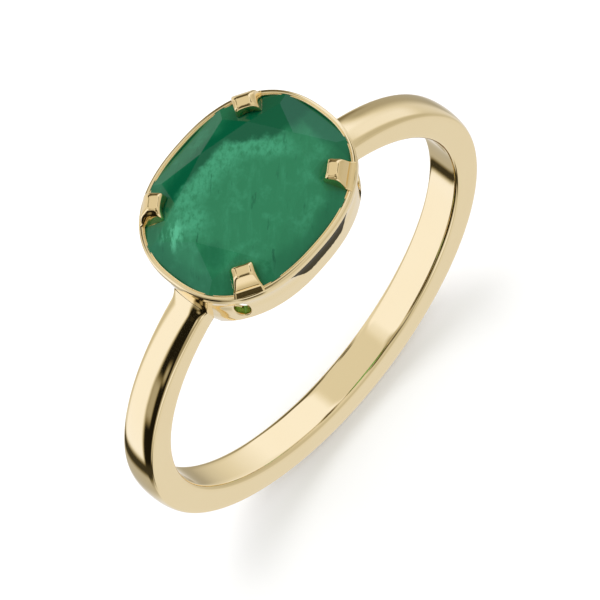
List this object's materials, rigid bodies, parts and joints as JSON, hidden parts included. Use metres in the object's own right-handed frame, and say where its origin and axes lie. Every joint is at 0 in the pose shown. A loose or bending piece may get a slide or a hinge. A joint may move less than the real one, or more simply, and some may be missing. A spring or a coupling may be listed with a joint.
{
  "type": "cocktail ring",
  "caption": "Finger ring with a slim domed band and an oval green gemstone set across the finger in an open claw-set collet.",
  "frame": {"origin": "centre of the finger hole", "axes": "+Y along the finger, +Z out of the hole through the stone, X from shoulder to shoulder"},
  "size_m": [0.02, 0.0076, 0.0227],
  "materials": {
    "gold": "mirror-polished pale yellow gold",
    "emerald": "polished, included green gemstone"
  },
  "bodies": {
    "root": {"shank": "gold", "collet": "gold", "rim": "gold", "stone_seat": "gold", "claw_front_left": "gold", "claw_front_right": "gold", "claw_back_left": "gold", "claw_back_right": "gold", "emerald": "emerald"}
  },
  "joints": []
}
